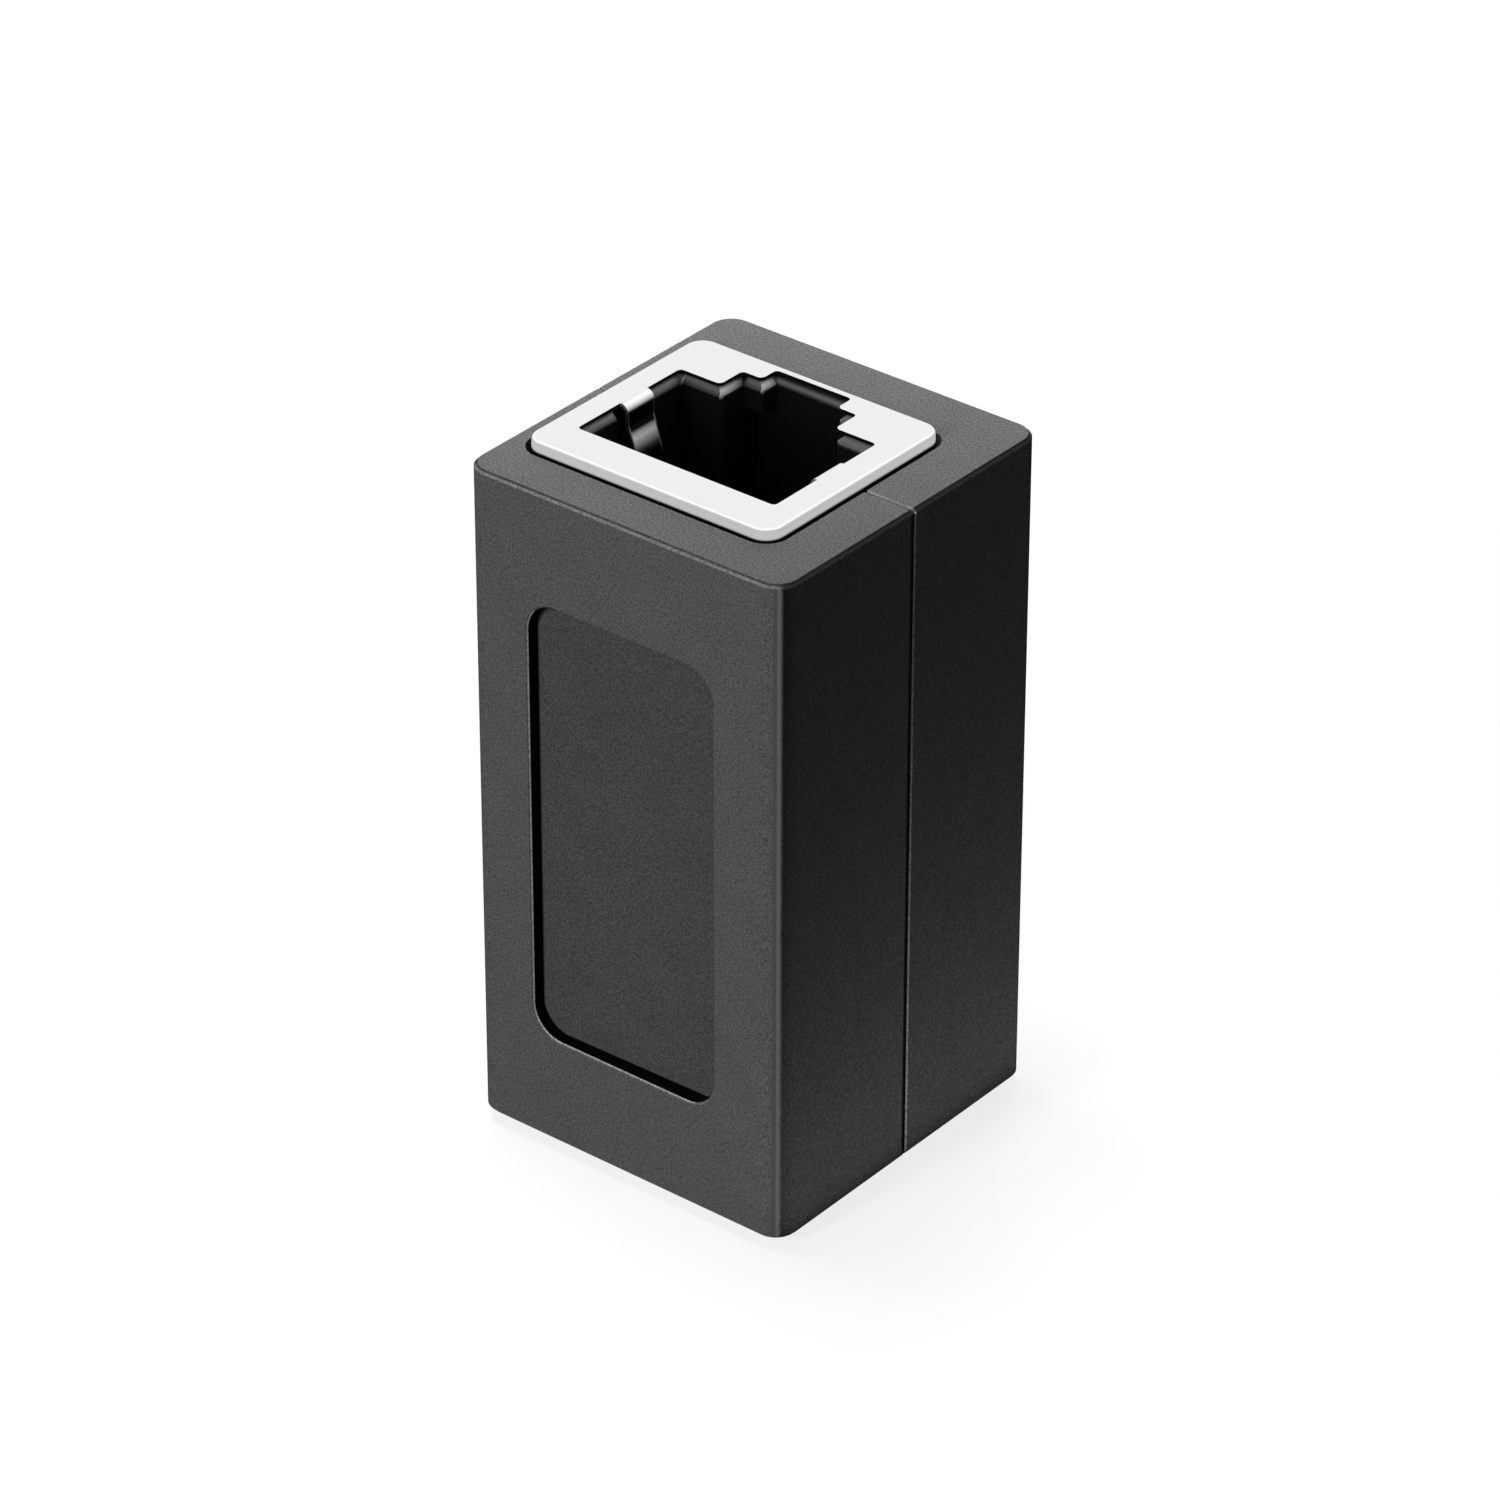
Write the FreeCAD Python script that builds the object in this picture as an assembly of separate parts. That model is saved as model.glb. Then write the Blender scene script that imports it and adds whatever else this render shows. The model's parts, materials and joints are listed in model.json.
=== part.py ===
import FreeCAD, Part
import math
import os

# Inline coupler for two eight-way modular plugs: two shielded jacks stand back to back on one
# small board inside a housing of two moulded halves.
# Millimetres. The origin is under the middle of the housing, at the face of the lower shield.
# +X runs to the right along the label side, +Y from the label side to the latch side, +Z up.

# Plug opening, seen from the end: a wide bay for the plug's body, and two steps for its latch
plug_width = 12.1
plug_thickness = 7.75
latch_step_width = 7.08
latch_step_depth = 1.7
latch_slot_width = 4.66
latch_slot_depth = 1.13
inward_corner_r = 0.3
outward_corner_r = 0.24

# Shield, a can drawn from thin sheet
sheet = 0.2
lip_side = 1.5
lip_contact_side = 2.25
lip_latch_side = 0.5
shield_corner_r = 1.0
shield_fold_r = 0.25
shield_proud = 0.6
shield_board_gap = 0.8

# Ground tabs, cut from the shield's face and curled into the opening, one on each side
tab_width = 2.0
tab_tip_width = 1.7
tab_from_contact_side = 4.24
tab_curl_r = 0.45
tab_straight = 1.2
tab_knee_depth = 3.0
tab_knee_inset = 0.94
tab_tip_depth = 4.6
tab_tip_inset = 0.4
tab_bend_r = 0.7

# Solder legs of the shield, placed from its front wall
leg_width = 1.2
leg_proud = 0.4
left_leg_places = (3.4, 9.4)
right_leg_places = (5.4, 11.4)
leg_slot_clear = 0.1

# Jack body, moulded, inside the shield
jack_length = 18.4
plug_depth = 13.6
face_gap = 0.12
body_clear = 0.04
catch_thickness = 1.6
tab_pocket_width = 2.6
tab_pocket_depth = 0.7
tab_pocket_length = 6.0
mouth_bevel = 0.45
peg_r = 0.75
peg_length = 1.0
peg_clear = 0.05
peg_places = ((-5.0, 2.5), (3.0, 4.0))

# Snap on each side of the body, which locks in a window of the shield
snap_width = 3.0
snap_height = 1.2
snap_reach = 0.2
snap_depth = 11.0
snap_clear = 0.1

# Contacts, bent strips that rise from the board, turn over at the mouth and slant into the bay
contact_count = 8
contact_pitch = 1.016
contact_width = 0.45
contact_thickness = 0.3
contact_bend_r = 0.45
contact_nose_depth = 2.3
contact_nose_length = 0.95
contact_slant_deg = 18.0
contact_reach = 7.4
tail_row_spacing = 2.54
tail_jog_height = 1.3
tail_proud = 0.4

# Contact carrier, a moulded comb that fills a slot in the body's contact side
groove_depth = 0.95
contact_clear = 0.04
carrier_cheek = 0.5
carrier_clear = 0.05
carrier_top_drop = 0.9
carrier_foot_roof = 0.7
carrier_foot_heel = 1.0
nose_room = 0.6

# Circuit board between the jacks
board_thickness = 1.2
board_edge_gap = 0.3
board_corner_r = 0.6
board_clear = 0.1
tail_hole_clear = 0.08
tail_hole_sides = 8

# Housing halves
housing_depth = 20.0
side_wall = 0.9
front_wall = 1.9
rear_wall = 1.4
end_wall = 1.4
aperture_gap = 0.3
front_space = 1.13
corner_r = 1.3
rim_bevel = 0.19
inner_corner_r = 0.5

# Joint between the halves: a tongue on the rear one seats in a rebate of the front one
tongue_thickness = 0.4
tongue_length = 0.9
tongue_clear = 0.05
parting_gap = 0.22
parting_bevel = 0.08

# Locating pins on the rear half, in bosses of the front half
boss_r = 1.0
boss_bite = 0.15
boss_gap = 0.45
pin_r = 0.5
pin_length = 2.5
pin_clear = 0.05
pin_spread = 11.0

# Ribs that hold the shields, and shelves that hold the board
rib_width = 1.0
rib_spread = 5.0
rib_clear = 0.08
shelf_thickness = 1.0

# Label recess in the front face
recess_width = 11.45
recess_height = 24.7
recess_depth = 0.78
recess_corner_r = 1.7
recess_bevel = 0.1
recess_shift = -0.15

# How far a cutting tool runs past the face that it cuts, and how near counts as the same place
overcut = 0.5
same_place = 1e-4

# Sizes of the whole, from the inside out
shield_width = plug_width + 2 * lip_side
shield_depth = lip_contact_side + plug_thickness + latch_step_depth + latch_slot_depth + lip_latch_side
side_space = 2 * boss_r - boss_bite + boss_gap
housing_width = side_wall + aperture_gap + shield_width + side_space + side_wall
overall_height = 2 * jack_length + board_thickness

# Heights
face_z = overall_height
middle_z = overall_height / 2
board_top = middle_z + board_thickness / 2
board_bottom = middle_z - board_thickness / 2
housing_bottom = shield_proud
housing_top = overall_height - shield_proud

# Places across the housing
left = -housing_width / 2
right = housing_width / 2
front = -housing_depth / 2
rear = housing_depth / 2
shield_left = left + side_wall + aperture_gap
shield_right = shield_left + shield_width
shield_front = front + front_wall + front_space
shield_rear = shield_front + shield_depth
jack_x = (shield_left + shield_right) / 2
bay_front = shield_front + lip_contact_side
bay_rear = bay_front + plug_thickness
step_rear = bay_rear + latch_step_depth
slot_rear = step_rear + latch_slot_depth
tab_y = bay_front + tab_from_contact_side
parting_y = 0.0

# Jack body, carrier and contacts
body_half_width = shield_width / 2 - sheet - body_clear
body_front = shield_front + sheet + body_clear
body_rear = shield_rear - sheet - body_clear
body_top = face_z - sheet - face_gap
snap_bottom = face_z - snap_depth
snap_y = (shield_front + shield_rear) / 2
bay_floor = face_z - plug_depth
carrier_half_width = (
    (contact_count - 1) * contact_pitch / 2 + contact_width / 2 + contact_clear + carrier_cheek
)
carrier_rear = bay_front - carrier_clear
groove_floor = carrier_rear - groove_depth
wire_y = groove_floor + contact_clear + contact_thickness / 2
far_row_y = wire_y + tail_row_spacing
jog_z = board_top + tail_jog_height
nose_z = face_z - contact_nose_depth
carrier_top = nose_z - carrier_top_drop
channel_roof = jog_z + contact_thickness / 2 + contact_clear
foot_roof = channel_roof + carrier_foot_roof
foot_rear = far_row_y + carrier_foot_heel
slot_top = nose_z + contact_thickness / 2 + nose_room
tail_hole_r = math.hypot(contact_width, contact_thickness) / 2 + tail_hole_clear


def at(x, y, z):
    return FreeCAD.Vector(x, y, z)


def box(low, high):
    """A box between two opposite corners."""
    return Part.makeBox(high[0] - low[0], high[1] - low[1], high[2] - low[2], at(*low))


def cylinder_along_y(x, z, y_from, y_to, radius):
    return Part.makeCylinder(radius, y_to - y_from, at(x, y_from, z), at(0, 1, 0))


def edges_on(shape, axis, place):
    """The edges of a shape that lie in the plane where one coordinate (0, 1 or 2) is fixed."""
    found = []
    for edge in shape.Edges:
        limits = edge.BoundBox
        low = (limits.XMin, limits.YMin, limits.ZMin)[axis]
        high = (limits.XMax, limits.YMax, limits.ZMax)[axis]
        if abs(low - place) < same_place and abs(high - place) < same_place:
            found.append(edge)
    return found


def upright_block(low, high, radius):
    """A box with its four upright edges rounded."""
    block = box(low, high)
    uprights = [e for e in block.Edges if e.BoundBox.ZLength > e.BoundBox.DiagonalLength / 2]
    uprights = [e for e in uprights if e.BoundBox.XLength + e.BoundBox.YLength < same_place]
    return block.makeFillet(radius, uprights)


def rounded_path(points, radii, closed):
    """Lines and arcs through flat points, each corner rounded by its own radius, or sharp at 0."""
    count = len(points)
    corners = range(count) if closed else range(1, count - 1)
    edges = []
    first = last = None if closed else points[0]
    for i in corners:
        corner = points[i]
        arriving = (corner - points[i - 1]).normalize()
        leaving = (points[(i + 1) % count] - corner).normalize()
        turn = arriving.getAngle(leaving)
        reach = radii[i] * math.tan(turn / 2)
        start = corner - arriving * reach
        end = corner + leaving * reach
        inward = (leaving - arriving).normalize()
        middle = corner + inward * (radii[i] / math.cos(turn / 2) - radii[i])
        if last is not None:
            edges.append(Part.LineSegment(last, start).toShape())
        else:
            first = start
        if radii[i] > 0:
            edges.append(Part.Arc(start, middle, end).toShape())
        last = end
    edges.append(Part.LineSegment(last, first if closed else points[-1]).toShape())
    return edges


def strip_side(points, radii, offset, normal):
    """One long side of a bent strip: its middle line moved to the left by the offset."""
    lefts = [normal.cross((b - a).normalize()) for a, b in zip(points, points[1:])]
    moved = []
    moved_radii = []
    for i, point in enumerate(points):
        before = lefts[max(i - 1, 0)]
        after = lefts[min(i, len(lefts) - 1)]
        moved.append(point + (before + after) * (offset / (1 + before.dot(after))))
        inner = offset if before.cross(after).dot(normal) > 0 else -offset
        moved_radii.append(radii[i] - inner if radii[i] > 0 else 0)
    return rounded_path(moved, moved_radii, False), moved[0], moved[-1]


def bent_strip(points, radii, thickness, across):
    """A strip of even thickness bent along a flat line, as wide as the vector across it."""
    normal = FreeCAD.Vector(across).normalize()
    left_side, left_start, left_end = strip_side(points, radii, thickness / 2, normal)
    right_side, right_start, right_end = strip_side(points, radii, -thickness / 2, normal)
    ends = [
        Part.LineSegment(left_end, right_end).toShape(),
        Part.LineSegment(right_start, left_start).toShape(),
    ]
    outline = Part.Wire(Part.__sortEdges__(left_side + right_side + ends))
    return Part.Face(outline).extrude(across)


def flat_prism(outline, across):
    """A straight-sided solid: a flat outline of points carried along a vector."""
    return Part.Face(Part.makePolygon(outline + [outline[0]])).extrude(across)


def turned_over(shape):
    """The same piece for the lower jack, turned half round about an axis from front to rear."""
    other = shape.copy()
    other.rotate(at(jack_x, 0, middle_z), at(0, 1, 0), 180)
    return other


def opening_corners(height, grow):
    """The corners of the plug opening, all moved outwards but for the slot's end, where the wall is thin."""
    half_bay = plug_width / 2 + grow
    half_step = latch_step_width / 2 + grow
    half_slot = latch_slot_width / 2 + grow
    right_half = [
        (half_bay, bay_front - grow),
        (half_bay, bay_rear + grow),
        (half_step, bay_rear + grow),
        (half_step, step_rear + grow),
        (half_slot, step_rear + grow),
        (half_slot, slot_rear),
    ]
    corners = right_half + [(-x, y) for x, y in reversed(right_half)]
    return [at(jack_x + x, y, height) for x, y in corners]


def opening_prism(bottom, top, out):
    """The stepped plug opening as a solid, with its outward corners rounded by the radius out."""
    radii = [out, out, inward_corner_r, out, inward_corner_r, out]
    outline = Part.Wire(rounded_path(opening_corners(bottom, 0), radii + radii[::-1], True))
    return Part.Face(outline).extrude(at(0, 0, top - bottom))


def mouth_funnel():
    """A cutter that bevels the rim of the body's mouth, to lead the plug in."""
    sections = []
    for height, grow in ((body_top - mouth_bevel, 0), (body_top, mouth_bevel)):
        corners = opening_corners(height, grow)
        sections.append(Part.makePolygon(corners + [corners[0]]))
    return Part.makeLoft(sections, True, True)


def ground_tab(side):
    """One ground tab, narrower at its tip. side is -1 for the left edge of the opening and 1 for the right."""
    edge_x = jack_x + side * plug_width / 2
    line = [
        (-lip_side / 2, sheet / 2),
        (tab_curl_r - sheet / 2, sheet / 2),
        (tab_curl_r - sheet / 2, tab_straight),
        (tab_knee_inset, tab_knee_depth),
        (tab_tip_inset, tab_tip_depth),
    ]
    points = [at(edge_x - side * inward, tab_y - tab_width, face_z - down) for inward, down in line]
    radii = [0, tab_curl_r - sheet / 2, tab_bend_r, tab_bend_r, 0]
    strip = bent_strip(points, radii, sheet, at(0, 2 * tab_width, 0))
    blank = [
        at(shield_left, tab_y - tab_width / 2, face_z),
        at(shield_left, tab_y + tab_width / 2, face_z),
        at(shield_left, tab_y + tab_tip_width / 2, face_z - tab_tip_depth - overcut),
        at(shield_left, tab_y - tab_tip_width / 2, face_z - tab_tip_depth - overcut),
    ]
    return strip.common(flat_prism(blank, at(shield_width, 0, 0)))


def leg_boxes(spare, bottom, top):
    """The shield's solder legs, or their slots when there is spare room all round."""
    half = leg_width / 2 + spare
    boxes = []
    for wall_x, places in ((shield_left, left_leg_places), (shield_right - sheet, right_leg_places)):
        for place in places:
            y = shield_front + place
            boxes.append(box((wall_x - spare, y - half, bottom), (wall_x + sheet + spare, y + half, top)))
    return boxes


def snap_windows():
    """The windows in the shield's side walls that the body's snaps lock in."""
    half = snap_width / 2 + snap_clear
    windows = []
    for wall_x in (shield_left, shield_right - sheet):
        low = (wall_x - overcut, snap_y - half, snap_bottom - snap_clear)
        high = (wall_x + sheet + overcut, snap_y + half, snap_bottom + snap_height + snap_clear)
        windows.append(box(low, high))
    return windows


def make_shield():
    bottom = board_top + shield_board_gap
    outside = upright_block(
        (shield_left, shield_front, bottom), (shield_right, shield_rear, face_z), shield_corner_r
    )
    outside = outside.makeFillet(shield_fold_r, edges_on(outside, 2, face_z))
    inside = upright_block(
        (shield_left + sheet, shield_front + sheet, bottom - overcut),
        (shield_right - sheet, shield_rear - sheet, face_z - sheet),
        shield_corner_r - sheet,
    )
    opening = opening_prism(face_z - sheet - overcut, face_z + overcut, outward_corner_r)
    can = outside.cut([inside, opening] + snap_windows())
    extras = [ground_tab(-1), ground_tab(1)]
    extras += leg_boxes(0, board_bottom - leg_proud, bottom + overcut)
    return can.fuse(extras).removeSplitter()


def tab_pocket(side):
    """Room in the body's side wall for a ground tab to spring back into."""
    wall_x = jack_x + side * plug_width / 2
    reach = sorted((wall_x - side * overcut, wall_x + side * tab_pocket_depth))
    half = tab_pocket_width / 2
    bottom = face_z - tab_pocket_length
    return box((reach[0], tab_y - half, bottom), (reach[1], tab_y + half, body_top + overcut))


def catch_room():
    """Behind the catch the slot is as wide as the step, so that the latch can spring out."""
    half = latch_step_width / 2
    return box(
        (jack_x - half, step_rear - overcut, bay_floor),
        (jack_x + half, slot_rear, body_top - catch_thickness),
    )


def carrier_slot():
    """The cut in the body's contact side that takes the carrier and lets the contacts through."""
    half = carrier_half_width + carrier_clear
    plate = box((jack_x - half, body_front - overcut, board_top - overcut), (jack_x + half, bay_front, slot_top))
    mouth = box((jack_x - half, body_front - overcut, bay_floor), (jack_x + half, bay_front + overcut, slot_top))
    foot = box(
        (jack_x - half, body_front - overcut, board_top - overcut),
        (jack_x + half, foot_rear + carrier_clear, foot_roof + carrier_clear),
    )
    return [plate, mouth, foot]


def pegs(radius, bottom, top):
    """The body's locating pegs, or their holes in the board."""
    return [
        Part.makeCylinder(radius, top - bottom, at(jack_x + x, y, bottom)) for x, y in peg_places
    ]


def snap(side):
    """A wedge on the body's side, thin at the end that goes into the shield first."""
    root_x = jack_x + side * body_half_width
    outline = [
        (root_x - side * overcut, snap_bottom),
        (root_x + side * snap_reach, snap_bottom),
        (root_x, snap_bottom + snap_height),
        (root_x - side * overcut, snap_bottom + snap_height),
    ]
    return flat_prism([at(x, snap_y - snap_width / 2, z) for x, z in outline], at(0, snap_width, 0))


def make_jack_body():
    block = upright_block(
        (jack_x - body_half_width, body_front, board_top),
        (jack_x + body_half_width, body_rear, body_top),
        shield_corner_r - sheet - body_clear,
    )
    block = block.cut([opening_prism(bay_floor, body_top + overcut, 0), mouth_funnel()])
    block = block.cut([catch_room(), tab_pocket(-1), tab_pocket(1)] + carrier_slot())
    extras = pegs(peg_r, board_top - peg_length, board_top + overcut) + [snap(-1), snap(1)]
    return block.fuse(extras).removeSplitter()


def contact_x(number):
    """The middle of a contact, counted from 1 at the left of the upper jack."""
    return jack_x + (number - (contact_count + 1) / 2) * contact_pitch


def make_contact(number):
    """One contact. Odd ones go straight into the board, even ones jog sharply to the far row."""
    slant = math.radians(contact_slant_deg)
    tail_z = board_bottom - tail_proud
    nose_rear = wire_y + contact_nose_length
    line = [
        (wire_y, nose_z),
        (nose_rear, nose_z),
        (nose_rear + contact_reach * math.tan(slant), nose_z - contact_reach),
    ]
    radii = [contact_bend_r] * len(line)
    if number % 2:
        tail = [(wire_y, tail_z)]
    else:
        tail = [(far_row_y, tail_z), (far_row_y, jog_z), (wire_y, jog_z)]
    x = contact_x(number) - contact_width / 2
    points = [at(x, y, z) for y, z in tail + line]
    return bent_strip(points, [0] * len(tail) + radii, contact_thickness, at(contact_width, 0, 0))


def contact_channel(number):
    """The groove for one contact: up the comb's face, and under the foot to the far row."""
    x = contact_x(number) - contact_width / 2 - contact_clear
    far = far_row_y + contact_thickness / 2 + contact_clear
    outline = [
        (groove_floor, board_top - overcut),
        (far, board_top - overcut),
        (far, channel_roof),
        (carrier_rear + contact_clear, channel_roof),
        (carrier_rear + contact_clear, carrier_top + overcut),
        (groove_floor, carrier_top + overcut),
    ]
    return flat_prism([at(x, y, z) for y, z in outline], at(contact_width + 2 * contact_clear, 0, 0))


def make_contact_carrier():
    low_x = jack_x - carrier_half_width
    outline = [
        (body_front, board_top),
        (foot_rear, board_top),
        (foot_rear, foot_roof),
        (carrier_rear, foot_roof),
        (carrier_rear, carrier_top),
        (body_front, carrier_top),
    ]
    block = flat_prism([at(low_x, y, z) for y, z in outline], at(2 * carrier_half_width, 0, 0))
    return block.cut([contact_channel(n + 1) for n in range(contact_count)])


def tail_holes():
    """Holes for the tails of both jacks: each row has one at every contact's place."""
    turns = [2 * math.pi * (side + 1 / 2) / tail_hole_sides for side in range(tail_hole_sides)]
    rim = [(tail_hole_r * math.cos(turn), tail_hole_r * math.sin(turn)) for turn in turns]
    holes = []
    for number in range(1, contact_count + 1):
        for row_y in (wire_y, far_row_y):
            outline = [at(contact_x(number) + x, row_y + y, board_bottom - overcut) for x, y in rim]
            holes.append(flat_prism(outline, at(0, 0, board_thickness + 2 * overcut)))
    return holes


def make_circuit_board():
    board = upright_block(
        (left + side_wall + board_edge_gap, front + front_wall + board_edge_gap, board_bottom),
        (right - side_wall - board_edge_gap, rear - rear_wall - board_edge_gap, board_top),
        board_corner_r,
    )
    upper_cuts = leg_boxes(leg_slot_clear, board_bottom - overcut, board_top + overcut)
    upper_cuts += pegs(peg_r + peg_clear, board_bottom - overcut, board_top + overcut)
    cuts = upper_cuts + [turned_over(cut) for cut in upper_cuts]
    return board.cut(cuts + tail_holes())


def housing_block():
    """The housing's outside as one rounded block."""
    block = upright_block((left, front, housing_bottom), (right, rear, housing_top), corner_r)
    rims = edges_on(block, 2, housing_bottom) + edges_on(block, 2, housing_top)
    return block.makeChamfer(rim_bevel, rims)


def housing_half(y_from, y_to):
    """The part of the housing block between two planes across its depth."""
    slab = box(
        (left - overcut, y_from, housing_bottom - overcut), (right + overcut, y_to, housing_top + overcut)
    )
    return housing_block().common(slab)


def cavity(grow):
    """The hollow inside the housing, grown by an even amount."""
    return upright_block(
        (left + side_wall - grow, front + front_wall, housing_bottom + end_wall - grow),
        (right - side_wall + grow, rear - rear_wall, housing_top - end_wall + grow),
        inner_corner_r,
    )


def joint_ring(inner, outer, y_from, y_to):
    """A ring round the hollow, across the parting plane: the tongue, or the rebate for it."""
    slab = box((left, y_from, housing_bottom), (right, y_to, housing_top))
    return cavity(outer).common(slab).cut(cavity(inner))


def apertures():
    """The openings in both ends of the housing that the shields stand in."""
    cutters = []
    for z_from, z_to in (
        (housing_bottom - overcut, housing_bottom + end_wall),
        (housing_top - end_wall, housing_top + overcut),
    ):
        cutters.append(
            upright_block(
                (shield_left - aperture_gap, shield_front - aperture_gap, z_from),
                (shield_right + aperture_gap, shield_rear + aperture_gap, z_to),
                shield_corner_r + aperture_gap,
            )
        )
    return cutters


def board_room():
    """The space that the ribs leave for the board."""
    return box(
        (left + side_wall, front + front_wall, board_bottom - board_clear),
        (right - side_wall, rear - rear_wall, board_top + board_clear),
    )


def shield_ribs(wall_y, tip_y):
    """Two upright ribs from the front or rear wall to the shields, notched for the board."""
    low_y, high_y = sorted((wall_y, tip_y))
    ribs = []
    for side in (-1, 1):
        x = jack_x + side * rib_spread
        rib = box(
            (x - rib_width / 2, low_y, housing_bottom + end_wall / 2),
            (x + rib_width / 2, high_y, housing_top - end_wall / 2),
        )
        ribs.append(rib.cut(board_room()))
    return ribs


def board_shelves(y_from, y_to):
    """Two shelves on the right wall, over and under the board, that also reach the shields."""
    low_x = shield_right + rib_clear
    high_x = right - side_wall / 2
    shelves = []
    for bottom in (board_top + board_clear, board_bottom - board_clear - shelf_thickness):
        shelves.append(box((low_x, y_from, bottom), (high_x, y_to, bottom + shelf_thickness)))
    return shelves


def pin_places():
    """The x and z of each locating pin, beside the shields along the right wall."""
    x = right - side_wall + boss_bite - boss_r
    return [(x, middle_z - pin_spread), (x, middle_z + pin_spread)]


def label_recess():
    """The shallow recess in the front face, open to the front."""
    half_width = recess_width / 2
    half_height = recess_height / 2
    points = [
        at(recess_shift + x, front - overcut, middle_z + z)
        for x, z in (
            (-half_width, -half_height),
            (half_width, -half_height),
            (half_width, half_height),
            (-half_width, half_height),
        )
    ]
    outline = Part.Wire(rounded_path(points, [recess_corner_r] * 4, True))
    return Part.Face(outline).extrude(at(0, overcut + recess_depth, 0))


def recess_edges(shell):
    """The edges round the recess's mouth."""
    limit = recess_width / 2 + abs(recess_shift) + recess_bevel
    return [e for e in edges_on(shell, 1, front) if abs(e.CenterOfMass.x) < limit
            and abs(e.CenterOfMass.z - middle_z) < recess_height / 2 + recess_bevel]


def make_front_shell():
    parting_face = parting_y - parting_gap
    wall = front + front_wall
    shell = housing_half(front - overcut, parting_face).cut(label_recess())
    shell = shell.makeChamfer(recess_bevel, recess_edges(shell))
    shell = shell.cut(cavity(0))
    bosses = [
        cylinder_along_y(x, z, wall - front_wall / 2 + recess_depth / 2, parting_face, boss_r)
        for x, z in pin_places()
    ]
    ribs = shield_ribs(wall - (front_wall - recess_depth) / 2, shield_front - rib_clear)
    shelves = board_shelves(wall - (front_wall - recess_depth) / 2, parting_face)
    shell = shell.fuse(bosses + ribs + shelves)
    bore_floor = parting_y - pin_length - pin_clear
    bores = [
        cylinder_along_y(x, z, bore_floor, parting_y, pin_r + pin_clear) for x, z in pin_places()
    ]
    rebate = joint_ring(-tongue_clear, tongue_thickness + tongue_clear, parting_y - tongue_length, parting_y)
    return shell.cut(apertures() + bores + [rebate]).removeSplitter()


def make_rear_shell():
    wall = rear - rear_wall
    shell = housing_half(parting_y, rear + overcut)
    shell = shell.makeChamfer(parting_bevel, edges_on(shell, 1, parting_y))
    shell = shell.cut(cavity(0))
    bosses = [
        cylinder_along_y(x, z, parting_y, wall + rear_wall / 2, boss_r) for x, z in pin_places()
    ]
    pins = [
        cylinder_along_y(x, z, parting_y - pin_length, parting_y + overcut, pin_r) for x, z in pin_places()
    ]
    ribs = shield_ribs(wall + rear_wall / 2, shield_rear + rib_clear)
    shelves = board_shelves(parting_y, wall + rear_wall / 2)
    tongue = joint_ring(0, tongue_thickness, parting_y - tongue_length, parting_y + tongue_length)
    shell = shell.fuse(bosses + pins + ribs + shelves + [tongue])
    return shell.cut(apertures()).removeSplitter()


def make_pieces():
    pieces = {
        "front_shell": make_front_shell(),
        "rear_shell": make_rear_shell(),
        "circuit_board": make_circuit_board(),
    }
    upper = {
        "shield": make_shield(),
        "jack_body": make_jack_body(),
        "contact_carrier": make_contact_carrier(),
    }
    for number in range(1, contact_count + 1):
        upper[f"contact_{number}"] = make_contact(number)
    for name, shape in upper.items():
        pieces["upper_" + name] = shape
        pieces["lower_" + name] = turned_over(shape)
    return pieces


os.makedirs("parts", exist_ok=True)
for name, shape in make_pieces().items():
    solids = shape.Solids
    print(name, len(solids), "solid,", round(shape.Volume, 3), "mm3, valid", shape.isValid())
    solids[0].exportStep(f"parts/{name}.step")
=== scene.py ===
import json
import math

import bpy
from mathutils import Euler, Matrix, Vector


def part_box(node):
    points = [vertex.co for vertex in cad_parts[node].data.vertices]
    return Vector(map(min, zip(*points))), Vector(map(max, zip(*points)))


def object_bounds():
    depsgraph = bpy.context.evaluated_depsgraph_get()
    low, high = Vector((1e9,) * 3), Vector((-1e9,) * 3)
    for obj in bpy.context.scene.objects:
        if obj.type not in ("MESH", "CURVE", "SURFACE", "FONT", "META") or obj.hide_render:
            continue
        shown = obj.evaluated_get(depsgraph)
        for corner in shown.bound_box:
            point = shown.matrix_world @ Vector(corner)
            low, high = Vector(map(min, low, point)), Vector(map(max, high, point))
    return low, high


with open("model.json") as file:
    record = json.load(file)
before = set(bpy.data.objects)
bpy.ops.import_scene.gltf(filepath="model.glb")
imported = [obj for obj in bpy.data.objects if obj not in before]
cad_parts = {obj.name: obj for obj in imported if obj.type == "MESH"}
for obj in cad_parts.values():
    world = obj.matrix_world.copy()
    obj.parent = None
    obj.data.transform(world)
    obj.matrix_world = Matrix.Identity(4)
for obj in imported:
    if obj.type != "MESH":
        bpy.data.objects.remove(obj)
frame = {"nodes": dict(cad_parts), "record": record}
cad_low, cad_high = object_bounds()
nodes = frame["nodes"]

# An inline coupler for two network plugs, standing on end on a pale floor.
# Lengths are in metres. The pattern sizes below are real sizes in millimetres times MM.
MM = 0.001

# Places that the frame gives. A reach is a distance from the part's middle, up or down.
housing_low, housing_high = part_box("front_shell")
rear_shell_low, rear_shell_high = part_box("rear_shell")
shield_low, shield_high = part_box("upper_shield")
lower_shield_low, lower_shield_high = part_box("lower_shield")
label_face_y = housing_low.y
rear_face_y = rear_shell_high.y
side_x = housing_high.x
jack_x = (shield_low.x + shield_high.x) / 2
middle_z = (cad_low.z + cad_high.z) / 2
housing_reach = (housing_high.z - housing_low.z) / 2
shield_reach = (shield_high.z - lower_shield_low.z) / 2

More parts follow.
